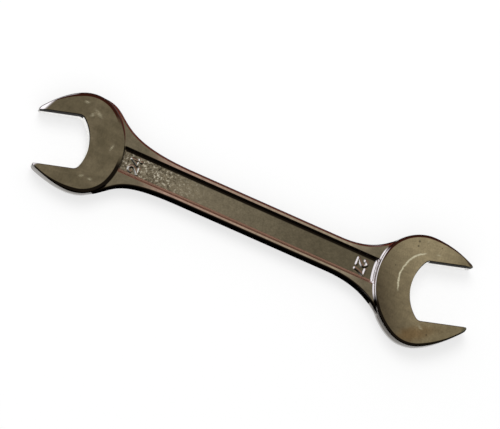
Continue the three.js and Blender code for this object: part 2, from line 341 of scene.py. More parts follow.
def mark_outline(x, y, height):
    """How far points near the web lie from the middle line of the raised numbers."""
    nearest = np.full(x.shape, far_from_marks)
    for text, middle_x, middle_y, up in size_marks:
        beside = (np.abs(x - middle_x) < digit_height) & (np.abs(y - middle_y) < 2 * digit_width)
        close = np.flatnonzero(beside & (height < web_thickness))
        # The number's own axes: u runs to the right as it is read, and v runs up it.
        number_v = up * (x[close] - middle_x) + digit_height / 2
        number_u = -up * (y[close] - middle_y)
        for place, digit in enumerate(text):
            digit_u = number_u - (place - 0.5) * (digit_width + digit_gap) + digit_width / 2
            for u0, v0, u1, v1, u2, v2 in digit_strokes[digit]:
                t = np.linspace(0, 1, stroke_steps + 1)
                line_u = digit_width * (u0 * (1 - t) ** 2 + 2 * u1 * t * (1 - t) + u2 * t**2)
                line_v = digit_height * (v0 * (1 - t) ** 2 + 2 * v1 * t * (1 - t) + v2 * t**2)
                for i in range(stroke_steps):
                    du, dv = line_u[i + 1] - line_u[i], line_v[i + 1] - line_v[i]
                    from_u, from_v = digit_u - line_u[i], number_v - line_v[i]
                    share = np.clip((from_u * du + from_v * dv) / (du * du + dv * dv), 0, 1)
                    away = np.hypot(from_u - share * du, from_v - share * dv)
                    nearest[close] = np.minimum(nearest[close], away)
    return nearest


# Where along the shank each head's own form begins to count. The fillet of the web gives way to that
# of the rails between two heights, and both fade out towards the flanks, down to a fine one.
head_start = 45.0
fillet_heights = (3.8, 2.6)
fillet_depths = (0.4, 2.4)
fine_fillet_radius = 0.05


def forging(x, y, z):
    """Distance in mm to the finished forging, below zero inside the steel."""
    height = np.abs(z)
    bar, out = recessed_bar(x, y, height)
    # The numbers on the underside are turned with it, so that they read right there too.
    stroke = mark_outline(x, np.where(z < 0, -y, y), height) - mark_half_stroke
    rise = height - web_thickness / 2
    side = stroke * math.cos(mark_draft) + rise * math.sin(mark_draft)
    mark = blend_max(side, rise - mark_height, mark_edge_radius)
    bar = -blend_max(-bar, -mark, mark_foot_radius)
    heads = np.full(x.shape, head_start)
    for head in (head_24, head_27):
        near = np.flatnonzero(head["end"] * x > head_start)
        heads[near] = head_body(head, x[near], y[near], height[near])
    web_fillet = np.where(x < 0, web_fillet_radius[-1], web_fillet_radius[1])
    rail_fillet = np.where(x < 0, rail_fillet_radius[-1], rail_fillet_radius[1])
    fillet = rail_fillet + (web_fillet - rail_fillet) * smooth_step(*fillet_heights, height)
    fillet = fillet * smooth_step(*fillet_depths, -out)
    body = -blend_max(-heads, -bar, fine_fillet_radius + fillet)
    for head in (head_24, head_27):
        near = np.flatnonzero(head["end"] * x > head_start)
        body[near] = cut_jaw(head, body[near], x[near], y[near], height[near])
    return body


# The skin of the forging
# The whole wrench is one closed surface. It is found on a fine grid, thinned out where it is nearly
# flat, and moved on to the exact form. Shading follows the form's own slope.
grid_low = np.array([-109.6, -26.9, -6.1])
grid_step = 0.25
# A part of a step that keeps the grid off the flat faces
grid_shift = 0.37
block_cells = 6
triangle_count = 190000
settling_reach = 0.005
shading_reach = 0.02
longest_move = 0.3
least_steepness = 0.25
level_share = 0.99999


def grid_values(axes):
    """The form's distance at every grid point, worked out point by point only near the skin."""
    half_block = grid_step * block_cells / 2
    centres = [axis[::block_cells] + half_block - grid_step / 2 for axis in axes]
    blocks = np.meshgrid(*centres, indexing="ij")
    rough = forging(*[part.ravel() for part in blocks]).reshape(blocks[0].shape)
    value = rough.astype(np.float32)
    for axis in range(3):
        value = np.repeat(value, block_cells, axis)
    near = np.argwhere(np.abs(rough) < 2 * half_block)
    offsets = np.indices((block_cells,) * 3).reshape(3, -1).T
    places = (near[:, None, :] * block_cells + offsets).reshape(-1, 3)
    points = [axes[i][places[:, i]] for i in range(3)]
    value[tuple(places.T)] = forging(*points)
    return value


def surface_net():
    """Corners and four-sided faces round every grid cell that the surface passes through."""
    blocks = np.ceil(-2 * grid_low / (grid_step * block_cells)).astype(int)
    steps = [np.arange(count * block_cells) + grid_shift for count in blocks]
    axes = [grid_low[i] + grid_step * steps[i] for i in range(3)]
    value = grid_values(axes)
    inside = value < 0
    ends = [slice(0, -1), slice(1, None)]
    total = np.zeros(np.array(value.shape) - 1, np.int8)
    for i, j, k in np.ndindex(2, 2, 2):
        total += inside[ends[i], ends[j], ends[k]]
    mixed = (total > 0) & (total < 8)
    index = np.full(total.shape, -1, np.int64)
    place = np.argwhere(mixed)
    index[mixed] = np.arange(len(place))
    # Each corner starts at the mean of the points where the surface crosses its cell's edges.
    sums = np.zeros((len(place), 3))
    hits = np.zeros(len(place))
    for axis in range(3):
        others = [a for a in range(3) if a != axis]
        for i, j in np.ndindex(2, 2):
            offset = np.zeros(3, int)
            offset[others[0]], offset[others[1]] = i, j
            start = place + offset
            a = value[tuple(start.T)]
            b = value[tuple((start + np.eye(3, dtype=int)[axis]).T)]
            crossed = (a < 0) != (b < 0)
            share = np.where(crossed, a / np.where(crossed, a - b, 1), 0)
            sums += (offset + np.eye(3)[axis] * share[:, None]) * crossed[:, None]
            hits += crossed
    corners = grid_low + grid_step * (place + sums / hits[:, None] + grid_shift)
    faces = []
    for axis in range(3):
        first, second = (axis + 1) % 3, (axis + 2) % 3
        here = np.moveaxis(inside, axis, 0)
        edge = np.argwhere(np.moveaxis(here[:-1] != here[1:], 0, axis))
        outward = inside[tuple(edge.T)]
        ring = []
        for a, b in ((-1, -1), (0, -1), (0, 0), (-1, 0)):
            cell = edge.copy()
            cell[:, first] += a
            cell[:, second] += b
            ring.append(index[tuple(cell.T)])
        ring = np.stack(ring, 1)
        ring[~outward] = ring[~outward][:, ::-1]
        faces.append(ring)
    return corners, np.concatenate(faces)


def form_at(points, reach):
    """The form's distance and slope at each point, from four samples round it."""
    samples = [(1, 1, 1), (1, -1, -1), (-1, 1, -1), (-1, -1, 1)]
    distance = np.zeros(len(points))
    slope = np.zeros(points.shape)
    for sample in samples:
        value = forging(*(points + reach * np.array(sample)).T)
        distance += value / 4
        slope += value[:, None] * np.array(sample) / (4 * reach)
    return distance, slope


def settle(points, times):
    """Moves each point along the slope on to the surface."""
    for _ in range(times):
        distance, slope = form_at(points, settling_reach)
        steepness = np.maximum((slope**2).sum(1), least_steepness)
        move = np.clip(distance, -longest_move, longest_move) / steepness
        points = points - slope * move[:, None]
    return points


def thinned(corners, faces):
    """Merges corners where the skin is nearly flat, and leaves triangles."""
    rough = bpy.data.meshes.new("rough_forging")
    rough.from_pydata(corners.tolist(), [], faces.tolist())
    holder = bpy.data.objects.new("rough_forging", rough)
    scene.collection.objects.link(holder)
    collapse = holder.modifiers.new("collapse", "DECIMATE")
    collapse.ratio = triangle_count / (2 * len(faces))
    collapse.use_collapse_triangulate = True
    done = bpy.data.meshes.new_from_object(holder.evaluated_get(bpy.context.evaluated_depsgraph_get()))
    corners = np.empty(3 * len(done.vertices))
    done.vertices.foreach_get("co", corners)
    faces = np.empty(3 * len(done.polygons), int)
    done.polygons.foreach_get("vertices", faces)
    bpy.data.objects.remove(holder)
    bpy.data.meshes.remove(rough)
    bpy.data.meshes.remove(done)
    return corners.reshape(-1, 3), faces.reshape(-1, 3)


def shading_normals(corners, faces):
    """The form's slope at each face's corners. A face in the middle of a flat is shaded level."""
    _, slope = form_at(corners, shading_reach)
    _, centre = form_at(corners[faces].mean(1), shading_reach)
    for way in (slope, centre):
        way /= np.maximum(np.linalg.norm(way, axis=1), 1e-9)[:, None]
    normals = slope[faces]
    level = np.abs(centre[:, 2]) > level_share
    normals[level] = centre[level][:, None]
    return normals.reshape(-1, 3)


corners, faces = surface_net()
corners, faces = thinned(settle(corners, 2), faces)
corners = settle(corners, 2)
normals = shading_normals(corners, faces)

mesh = bpy.data.meshes.new("wrench_forging")
mesh.from_pydata((corners * MM + np.array(forging_origin)).tolist(), [], faces.tolist())
mesh.polygons.foreach_set("use_smooth", np.ones(len(faces), bool))
mesh.normals_split_custom_set(normals.tolist())
wrench = bpy.data.objects.new("wrench_forging", mesh)
scene.collection.objects.link(wrench)
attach(wrench, "root")
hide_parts("head_24", "shank", "head_27")


# The plated finish
# Alloy steel, ground and polished on the faces, left as forged in the recesses and on the walls, then
# plated all over. The thin plating shows a warm olive-grey metal with soft dark reflections. Use has
# scuffed the faces. Light and shade are painted on as well: brown along the edges towards the upper side,
# dark bands on what faces the lower edge, highlights and glints, and a slant of light over the large head.
def linear(hex_colour):
    """Turns an sRGB hex colour into linear values."""
    channels = [int(hex_colour[i : i + 2], 16) / 255 for i in (1, 3, 5)]
    return [c / 12.92 if c <= 0.04045 else ((c + 0.055) / 1.055) ** 2.4 for c in channels] + [1]


def add_node(kind, inputs, **settings):
    """Adds a node to the tree in hand, sets or links its inputs, and gives back its outputs. The inputs
    are a list from the first on, or a dictionary by name or number. A hex string is a colour."""
    node = tree.nodes.new("ShaderNode" + kind)
    for name, value in settings.items():
        setattr(node, name, value)
    for name, value in inputs.items() if isinstance(inputs, dict) else enumerate(inputs):
        if isinstance(value, bpy.types.NodeSocket):
            tree.links.new(value, node.inputs[name])
        else:
            node.inputs[name].default_value = linear(value) if isinstance(value, str) else value
    return node.outputs


steel = bpy.data.materials.new("chrome_plated_forged_steel")
steel.use_nodes = True
tree = steel.node_tree
surface = tree.nodes["Principled BSDF"]
soft = {"interpolation_type": "SMOOTHSTEP"}
of_colours = {"data_type": "RGBA"}
product = {"operation": "MULTIPLY"}
largest = {"operation": "MAXIMUM"}

# Where each point lies on the forging, in millimetres, and which way the surface faces there
coordinates = add_node("TexCoord", [])
in_millimetres = [coordinates["Object"], (1 / MM,) * 3, tuple(-forging_origin / MM)]
place = add_node("VectorMath", in_millimetres, operation="MULTIPLY_ADD")[0]
x_place, y_place, z_place = add_node("SeparateXYZ", [place])
x_facing, y_facing, z_facing = add_node("SeparateXYZ", [coordinates["Normal"]])
height, level, off_axis, from_middle, sideways = [
    add_node("Math", [value], operation="ABSOLUTE")[0]
    for value in (z_place, z_facing, y_place, x_place, x_facing)
]

# Cloudy tone of the plating: patches of about 12 mm and of about 3 mm
patches = add_node("TexNoise", {"Vector": place, "Scale": 0.085, "Detail": 3, "Roughness": 0.6})[0]
clouds = add_node("TexNoise", {"Vector": place, "Scale": 0.33, "Detail": 4, "Roughness": 0.65})[0]

# The ground faces. The small head is an even olive grey. The large head is painted from brown at its
# lower left to a lighter straw colour towards its upper jaw, a painted slant of light across its face.
lighter = add_node("MapRange", [patches, 0.42, 0.62], **soft)[0]
face_24 = add_node("Mix", {0: lighter, 6: "#5C5340", 7: "#685E4A"}, **of_colours)[2]
slant = add_node("Math", [y_place, 0.8, x_place], operation="MULTIPLY_ADD")[0]
cloudy_slant = add_node("Math", [patches, 12.0, slant], operation="MULTIPLY_ADD")[0]
painted_light_slant = add_node("MapRange", [cloudy_slant, 51.0, 97.0], **soft)[0]
face_27 = add_node("Mix", {0: painted_light_slant, 6: "#3C3326", 7: "#8B7E62"}, **of_colours)[2]
right_end = add_node("MapRange", [x_place, 20.0, 50.0], **soft)[0]
face = add_node("Mix", {0: right_end, 6: face_24, 7: face_27}, **of_colours)[2]

# A brown stain along the lower jaw of the large head, with its place, turn and size
stained = [place, (87.5, -18.6, 0), (0, 0, jaw_angle + 0.3), (12.0, 3.6, 100)]
stain_spot = add_node("Mapping", stained, vector_type="TEXTURE")[0]
stain_reach = add_node("VectorMath", [stain_spot], operation="LENGTH")[1]
ragged = add_node("Math", [clouds, 1.2, stain_reach], operation="MULTIPLY_ADD")[0]
stain = add_node("MapRange", {0: ragged, 1: 1.9, 2: 0.9, 4: 0.6}, **soft)[0]
face = add_node("Mix", {0: stain, 6: face, 7: "#6A5130"}, **of_colours)[2]
far_end = add_node("MapRange", {0: x_place, 1: 84.0, 2: 98.0, 4: 0.65}, **soft)[0]
face = add_node("Mix", {0: far_end, 6: face, 7: "#645942"}, **of_colours)[2]

# The web keeps the forged skin. It is lighter and rougher towards the small head.
toward_24 = add_node("MapRange", [x_place, 30.0, -55.0])[0]
web = add_node("Mix", {0: toward_24, 6: "#595140", 7: "#7C725E"}, **of_colours)[2]

# The rails are painted light and pinkish along the middle as a highlight on their crests, and dull
# where they widen.
mid_rails = add_node("MapRange", [from_middle, 58.0, 40.0], **soft)[0]
rightward = add_node("MapRange", [x_place, -40.0, 35.0])[0]
rail_painted_highlight = add_node("Mix", {0: rightward, 6: "#A08575", 7: "#938570"}, **of_colours)[2]
rail = add_node("Mix", {0: mid_rails, 6: "#675E4C", 7: rail_painted_highlight}, **of_colours)[2]

# The walls are the trimmed and forged sides, darker than the polished faces. Those inside the jaws
# are broached, so they are bright. A line inside each long edge of a face is told by its depth from
# the edge: each has its width and the distance from the middle of the head at which it begins.
head_reach = 50.0
head_middle = 60.0
line_softness = 0.25
line_run_in = 6.0
in_jaw = []
upper_rims = []
lower_rims = []
for head in (head_24, head_27):
    gap = head["across_flats"] + jaw_clearance
    jaw_frame = [place, (*head["centre"], 0), (0, 0, head["turn"])]
    jaw_place = add_node("Mapping", jaw_frame, vector_type="TEXTURE")[0]
    jaw_x, jaw_y, _ = add_node("SeparateXYZ", [jaw_place])
    side = add_node("Math", [jaw_y], operation="ABSOLUTE")[0]
    across = add_node("MapRange", [side, gap / 2 + 0.7, gap / 2 + 0.5])[0]
    throat = -head["throat_reach"]
    deep = add_node("MapRange", [jaw_x, throat - 3, throat - 2])[0]
    in_jaw.append(add_node("Math", [across, deep], **product)[0])
    here = [x_place, head_middle * head["end"], head_reach]
    at_head = add_node("Math", here, operation="COMPARE")[0]
    for rims, edge, line_width, beginning in ((upper_rims, 1, 0.6, 9.0), (lower_rims, -1, 0.7, 3.0)):
        outward = add_node("Math", [jaw_y, float(edge * head["end"])], **product)[0]
        in_plan = add_node("CombineXYZ", [jaw_x, outward])[0]
        depth = None
        for centre, radius, start, _ in reversed(side_arcs(head, edge * head["end"])[1:]):
            away = add_node("VectorMath", [in_plan, (*centre, 0)], operation="DISTANCE")[1]
            within = add_node("Math", [radius, away], operation="SUBTRACT")[0]
            if depth is not None:
                ahead = add_node("Math", [jaw_x, arc_end], operation="GREATER_THAN")[0]
                within = add_node("Mix", {0: ahead, 2: depth, 3: within})[0]
            depth = within
            arc_end = centre[0] + radius * math.cos(start)
        line = add_node("MapRange", [depth, line_width, line_width - line_softness], **soft)[0]
        begun = add_node("MapRange", [outward, beginning, beginning + line_run_in], **soft)[0]
        for part in (begun, at_head):
            line = add_node("Math", [line, part], **product)[0]
        rims.append(line)
broached = add_node("Math", [in_jaw[0], in_jaw[1]], **largest)[0]
wall = add_node("Mix", {0: broached, 6: "#4C4235", 7: "#F6F5F2"}, **of_colours)[2]

# The regions are told apart by height from the parting plane and by slope.
on_head = add_node("MapRange", [height, 4.1, 4.4], **soft)[0]
on_rail = add_node("MapRange", [height, 2.5, 3.2], **soft)[0]
upright = add_node("MapRange", [level, 0.75, 0.35], **soft)[0]
colour = web
for share, tone in ((on_rail, rail), (on_head, face), (upright, wall)):
    colour = add_node("Mix", {0: share, 6: colour, 7: tone}, **of_colours)[2]

# Mottling of the whole skin: clouds of about 3 mm, and specks under a millimetre
specks = add_node("TexNoise", {"Vector": place, "Scale": 1.3, "Detail": 2, "Roughness": 0.7})[0]
for noise, darkest in ((clouds, 0.84), (specks, 0.86)):
    mottle = add_node("MapRange", [noise, 0.3, 0.7, darkest, 1.14])[0]
    colour = add_node("VectorMath", {0: colour, 3: mottle}, operation="SCALE")[0]

# The forged skin by the 24 is scaly: painted glints on its grains and painted shade in its hollows,
# about 1 mm across
below_rails = add_node("MapRange", [height, 2.6, 2.1], **soft)[0]
on_web = add_node("MapRange", [level, 0.4, 0.7], **soft)[0]
on_web = add_node("Math", [on_web, below_rails], **product)[0]
scaly = add_node("MapRange", [x_place, -20.0, -54.0], **soft)[0]
scaly = add_node("Math", [scaly, on_web], **product)[0]
grains = add_node("TexNoise", {"Vector": place, "Scale": 0.95, "Detail": 3, "Roughness": 0.75})[0]
grain_glints = add_node("MapRange", {0: grains, 1: 0.54, 2: 0.66, 4: 0.95}, **soft)[0]
grain_glints = add_node("Math", [grain_glints, scaly], **product)[0]
grain_shade = add_node("MapRange", {0: grains, 1: 0.46, 2: 0.34, 4: 0.9}, **soft)[0]
grain_shade = add_node("Math", [grain_shade, scaly], **product)[0]

# The raised numbers get a painted highlight on their left sides and painted shade along their lower ones.
raised = add_node("MapRange", [height, 1.83, 1.93], **soft)[0]
inner = add_node("MapRange", [off_axis, 4.1, 3.8], **soft)[0]
at_marks = add_node("Math", [from_middle, 55.5, 7.0], operation="COMPARE")[0]
for part in (below_rails, inner, at_marks):
    raised = add_node("Math", [raised, part], **product)[0]
numeral_painted_highlight = add_node("MapRange", [x_facing, -0.12, -0.35], **soft)[0]
numeral_painted_highlight = add_node("Math", [numeral_painted_highlight, raised], **product)[0]
numeral_painted_shade = add_node("MapRange", [y_facing, -0.05, -0.2], **soft)[0]
numeral_painted_shade = add_node("Math", [numeral_painted_shade, raised], **product)[0]

# Painted reflection in brown on the rounded edges that face the upper side: a line along the upper
# edges of the rails and of the heads, darker on the heads, and a paler one down the lower side of the
# recess
painted_brown_edges = add_node("MapRange", [level, 0.94, 0.86], **soft)[0]
off_wall = add_node("MapRange", [level, 0.05, 0.2], **soft)[0]
upward = add_node("MapRange", [y_facing, 0.2, 0.35], **soft)[0]
for part in (off_wall, upward):
    painted_brown_edges = add_node("Math", [painted_brown_edges, part], **product)[0]
in_recess = add_node("MapRange", [off_axis, 6.6, 6.2], **soft)[0]
on_bar = add_node("MapRange", [height, 4.3, 4.0], **soft)[0]
along_bar = add_node("Math", [from_middle, 72.0], operation="LESS_THAN")[0]
for part in (on_bar, along_bar):
    in_recess = add_node("Math", [in_recess, part], **product)[0]
lower_down = add_node("MapRange", [height, 3.85, 3.4], **soft)[0]
line_brown = add_node("Mix", {0: rightward, 6: "#76372A", 7: "#6B4636"}, **of_colours)[2]
recess_brown = add_node("Mix", {0: lower_down, 6: line_brown, 7: "#82604F"}, **of_colours)[2]
edge_brown = add_node("Mix", {0: on_head, 6: "#5C281D", 7: "#3A1A13"}, **of_colours)[2]
brown = add_node("Mix", {0: in_recess, 6: edge_brown, 7: recess_brown}, **of_colours)[2]
upper_rim = add_node("Math", [upper_rims[0], upper_rims[1]], **largest)[0]
upper_rim = add_node("Math", [upper_rim, on_head], **product)[0]

# Painted shade darkens what faces the lower edge, for its dark reflections: one side of the recess, a
# line under the upper face inside each jaw, the rounding of the outer edges, wider on the heads, and a
# line inside it there.
recess_painted_shade = add_node("MapRange", [y_facing, -0.25, -0.5], **soft)[0]
recess_painted_shade = add_node("Math", [recess_painted_shade, in_recess], **product)[0]
near_top = add_node("MapRange", [z_place, -0.3, 0.7], **soft)[0]
jaw_painted_shade = add_node("Math", [sideways, 2.0, y_facing], operation="MULTIPLY_ADD")[0]
jaw_painted_shade = add_node("MapRange", [jaw_painted_shade, -0.08, -0.22], **soft)[0]
for part in (broached, near_top):
    jaw_painted_shade = add_node("Math", [jaw_painted_shade, part], **product)[0]
above_wall = add_node("MapRange", [level, 0.2, 0.35], **soft)[0]
outside = add_node("Math", [1.0, in_recess], operation="SUBTRACT")[0]
edge_painted_shade = add_node("Math", [on_head, -0.18, y_facing], operation="MULTIPLY_ADD")[0]
edge_painted_shade = add_node("MapRange", [edge_painted_shade, -0.24, -0.42], **soft)[0]
for part in (above_wall, outside):
    edge_painted_shade = add_node("Math", [edge_painted_shade, part], **product)[0]
lower_rim = add_node("Math", [lower_rims[0], lower_rims[1]], **largest)[0]
for part in (on_head, above_wall):
    lower_rim = add_node("Math", [lower_rim, part], **product)[0]
painted_shade = recess_painted_shade
for part in (jaw_painted_shade, edge_painted_shade, lower_rim):
    painted_shade = add_node("Math", [painted_shade, part], **largest)[0]

# Painted highlights in the hollow where the web ends at the large head, and on the tips of the small one
painted_highlight = add_node("MapRange", [x_place, 46.0, 48.0])[0]
to_left = add_node("MapRange", [x_facing, -0.18, -0.45], **soft)[0]
near_web = add_node("MapRange", [off_axis, 13.0, 9.0], **soft)[0]
for part in (to_left, near_web):
    painted_highlight = add_node("Math", [painted_highlight, part], **product)[0]
tip_painted_highlight = add_node("MapRange", [x_place, -94.0, -96.0])[0]
sloping = add_node("MapRange", [level, 0.6, 0.75], **soft)[0]
for part in (to_left, sloping):
    tip_painted_highlight = add_node("Math", [tip_painted_highlight, part], **product)[0]
painted_highlight = add_node("Math", [painted_highlight, tip_painted_highlight], **largest)[0]

# The bevels on the tips of the large head that face right get painted shade, darker than its face.
tip_painted_shade = add_node("MapRange", [x_place, 94.0, 96.0])[0]
to_right = add_node("MapRange", {0: x_facing, 1: 0.15, 2: 0.4, 4: 0.75}, **soft)[0]
for part in (to_right, sloping):
    tip_painted_shade = add_node("Math", [tip_painted_shade, part], **product)[0]

# Scuffs on the upper faces: each is a smear with its place, turn, length and width in millimetres.
scuff_height = 5
scuff_depth = 2
scuffs = [
    (-83.2, 14.2, -0.5, 3.4, 1.3),
    (-85.6, 12.6, 0.9, 2.0, 1.1),
    (-75.5, -14.6, 0.3, 1.6, 0.9),
    (-79.6, -14.7, 0.6, 1.8, 0.9),
    (-71.9, 2.4, 1.3, 2.6, 0.8),
    (-90.0, 17.0, 0.2, 2.0, 1.0),
    (83.2, 18.0, 0.4, 1.8, 0.8),
    (87.6, -15.6, -0.4, 2.2, 1.0),
    (76.4, 22.0, 1.2, 1.2, 0.5),
]
smears = 0.0
for x, y, turn, length, width in scuffs:
    smeared = [place, (x, y, scuff_height), (0, 0, turn), (length, width, scuff_depth)]
    spot = add_node("Mapping", smeared, vector_type="TEXTURE")[0]
    reach = add_node("VectorMath", [spot], operation="LENGTH")[1]
    smear = add_node("MapRange", [reach, 1.0, 0.1], **soft)[0]
    smears = add_node("Math", [smears, smear], **largest)[0]

# One long curved scratch round the throat of the large jaw
large_face = head_27["thickness"] / 2
scratch_centre = (84.6, 3.53)
scratch_radius = 14.8
scratch_wander = 1.6
scratch_middle = math.radians(164.5)
scratch_half_turn = math.radians(50)
scratched = [place, (*scratch_centre, large_face), (0, 0, scratch_middle)]
scratched = add_node("Mapping", scratched, vector_type="TEXTURE")[0]
scratch_x, scratch_y, _ = add_node("SeparateXYZ", [scratched])
in_plan = add_node("CombineXYZ", [scratch_x, scratch_y])[0]
reach = add_node("VectorMath", [in_plan], operation="LENGTH")[1]
wander = add_node("Math", [clouds, scratch_wander, reach], operation="MULTIPLY_ADD")[0]
off_line = [wander, scratch_radius + scratch_wander / 2]
off_line = add_node("Math", off_line, operation="SUBTRACT")[0]
off_line = add_node("Math", [off_line], operation="ABSOLUTE")[0]
scratch = add_node("MapRange", [off_line, 0.55, 0.12], **soft)[0]
swing = add_node("Math", [scratch_y, scratch_x], operation="ARCTAN2")[0]
swing = add_node("Math", [swing], operation="ABSOLUTE")[0]
run = add_node("MapRange", [swing, scratch_half_turn, scratch_half_turn - 0.2], **soft)[0]

# Fine strokes of about 0.4 mm by 2 mm break up the smears and the scratch.
strokes = add_node("Mapping", {0: place, 2: (0, 0, 0.6), 3: (0.5, 2.4, 1)})[0]
strokes = add_node("TexNoise", {"Vector": strokes, "Scale": 1.0, "Detail": 2})[0]
broken = add_node("MapRange", [strokes, 0.35, 0.68, 0.06, 0.75])[0]
patchy = add_node("MapRange", [strokes, 0.3, 0.6, 0.5, 0.95])[0]
on_top = add_node("MapRange", [z_facing, 0.9, 0.98])[0]
for part in (broken, on_top):
    smears = add_node("Math", [smears, part], **product)[0]
for part in (run, patchy, on_top):
    scratch = add_node("Math", [scratch, part], **product)[0]

# Pits in the plating: a few dark spots on the large upper face, each with its place and radius
pits = [(72.6, 20.4, 0.75), (72.85, 18.2, 0.65), (83.3, 21.6, 0.4), (66.5, 6.0, 0.4), (91.5, -17.6, 0.5)]
spots = 0.0
for x, y, radius in pits:
    away = add_node("VectorMath", [place, (x, y, large_face)], operation="DISTANCE")[1]
    spot = add_node("MapRange", [away, radius, radius * 0.3], **soft)[0]
    spots = add_node("Math", [spots, spot], **largest)[0]
spots = add_node("Math", [spots, 0.7], **product)[0]

# The marks, tones, painted highlights and painted shade laid over the skin, from the first to the last
for share, tone in (
    (grain_glints, "#D6CEBA"),
    (grain_shade, "#2C261D"),
    (numeral_painted_shade, "#15110C"),
    (numeral_painted_highlight, "#FBF9F4"),
    (painted_brown_edges, brown),
    (upper_rim, "#33170F"),
    (painted_shade, "#17120D"),
    (painted_highlight, "#EAE4E8"),
    (tip_painted_shade, "#4E4B3A"),
    (smears, "#ADA58C"),
    (scratch, "#C6BFA4"),
    (spots, "#2E281D"),
):
    colour = add_node("Mix", {0: share, 6: colour, 7: tone}, **of_colours)[2]
tree.links.new(colour, surface.inputs["Base Color"])

# The faces and rails are polished. The web between the rails is rougher, and so are the edges painted
# brown, the smears, the painted shade in the jaws and the broached walls.
polish = add_node("MapRange", [clouds, 0.3, 0.7, 0.15, 0.22])[0]
forged = add_node("MapRange", {0: height, 1: 2.7, 2: 2.2, 4: 0.14}, **soft)[0]
between = add_node("MapRange", [off_axis, 6.5, 6.0], **soft)[0]
rough = add_node("Math", [forged, between, polish], operation="MULTIPLY_ADD")[0]
on_wall = add_node("Math", [broached, upright], **product)[0]
for part, more in ((painted_brown_edges, 0.1), (smears, 0.25), (jaw_painted_shade, 0.5), (on_wall, 0.2)):
    rough = add_node("Math", [part, more, rough], operation="MULTIPLY_ADD")[0]
tree.links.new(rough, surface.inputs["Roughness"])

# It is all metal, but less so where brown is painted down the side of the recess and shade in the jaws.
matt = add_node("Math", [painted_brown_edges, in_recess], **product)[0]
matt = add_node("Math", [matt, jaw_painted_shade], **largest)[0]
metal = add_node("MapRange", {0: matt, 3: 1.0, 4: 0.45})[0]
tree.links.new(metal, surface.inputs["Metallic"])

# Forged scale on the web: grains of about 1.3 mm, strongest by the 24
grain = add_node("TexNoise", {"Vector": place, "Scale": 0.75, "Detail": 3, "Roughness": 0.7})[0]
by_24 = add_node("MapRange", {0: scaly, 3: 0.12, 4: 1.0})[0]
for part in (by_24, on_web):
    grain = add_node("Math", [grain, part], **product)[0]
grain_bump = add_node("Bump", {"Strength": 1.0, "Distance": 1.1 * MM, "Height": grain})[0]

# The polished faces are not quite flat. Belt marks run across each head, about 0.6 mm apart.
belt = add_node("Mapping", {0: place, 2: (0, 0, jaw_angle), 3: (1.6, 0.12, 1)})[0]
belt = add_node("TexNoise", {"Vector": belt, "Scale": 1.0, "Detail": 3, "Roughness": 0.6})[0]
swell = add_node("TexNoise", {"Vector": place, "Scale": 0.14, "Detail": 1})[0]
finish = add_node("Math", [swell, 6.0, belt], operation="MULTIPLY_ADD")[0]
flatter = add_node("MapRange", [level, 0.4, 0.8, 0.1, 1.0])[0]
finish = add_node("Math", [finish, flatter], **product)[0]
skin = {"Strength": 1.0, "Distance": 0.03 * MM, "Height": finish, "Normal": grain_bump}
tree.links.new(add_node("Bump", skin)[0], surface.inputs["Normal"])
wrench.data.materials.append(steel)


# The camera
# A long lens above the wrench, tilted a little towards its left end and its lower edge.
camera_tilt_left = math.radians(5.4)
camera_tilt_down = math.radians(10.25)
camera_distance = 1400.0
camera_roll = math.radians(-22.9466)
camera_target = Vector((-2.6392, 1.0705, 0))
pixels_per_mm = 2.22076
image_width = 500
sensor_width = 36.0

back = Vector((-math.tan(camera_tilt_left), -math.tan(camera_tilt_down), 1)).normalized()
across = Vector((0, 1, 0)).cross(back).normalized()
upward = back.cross(across)
right = across * math.cos(camera_roll) - upward * math.sin(camera_roll)
up = across * math.sin(camera_roll) + upward * math.cos(camera_roll)
lens = bpy.data.cameras.new("camera")
lens.sensor_fit = "HORIZONTAL"
lens.sensor_width = sensor_width
lens.lens = pixels_per_mm * camera_distance * sensor_width / image_width
lens.clip_end = 10
camera = bpy.data.objects.new("camera", lens)
camera.matrix_world = Matrix((
    (right.x, up.x, back.x, 0), (right.y, up.y, back.y, 0), (right.z, up.z, back.z, 0), (0, 0, 0, 1),
))
camera.location = forging_origin + (camera_target + back * camera_distance) * MM
scene.collection.objects.link(camera)
scene.camera = camera


# The floor
# A sheet of matt white paper under the wrench, wide enough to fill every view.
floor_reach = 6.0
floor_drop = 0.0002
plain_share = 0.65

floor_mesh = bpy.data.meshes.new("floor")
floor_corners = [(-floor_reach, -floor_reach, 0), (floor_reach, -floor_reach, 0)]
floor_corners += [(floor_reach, floor_reach, 0), (-floor_reach, floor_reach, 0)]
floor_mesh.from_pydata(floor_corners, [], [(0, 1, 2, 3)])
floor = bpy.data.objects.new("floor", floor_mesh)
floor.location.z = -floor_drop
scene.collection.objects.link(floor)

# A third of what is seen of the paper is its lit surface, with the wrench's soft shadow on it, and
# the rest is plain white, so that the ground reads white to the eye and in the metal alike.
paper = bpy.data.materials.new("matt_white_paper")
paper.use_nodes = True
tree = paper.node_tree
sheet = tree.nodes["Principled BSDF"]
sheet.inputs["Base Color"].default_value = linear("#F4F4F4")
sheet.inputs["Roughness"].default_value = 0.95
sheet.inputs["Specular IOR Level"].default_value = 0.0
rays = add_node("LightPath", [])
seen = add_node("Math", [rays["Is Camera Ray"], plain_share], **product)[0]
for kind in ("Is Glossy Ray", "Is Transmission Ray"):
    seen = add_node("Math", [seen, rays[kind]], **largest)[0]
plain_white = add_node("Emission", {"Color": (1, 1, 1, 1), "Strength": 1.0})[0]
mixed = add_node("MixShader", [seen, sheet.outputs[0], plain_white])[0]
tree.links.new(mixed, tree.nodes["Material Output"].inputs["Surface"])
floor_mesh.materials.append(paper)


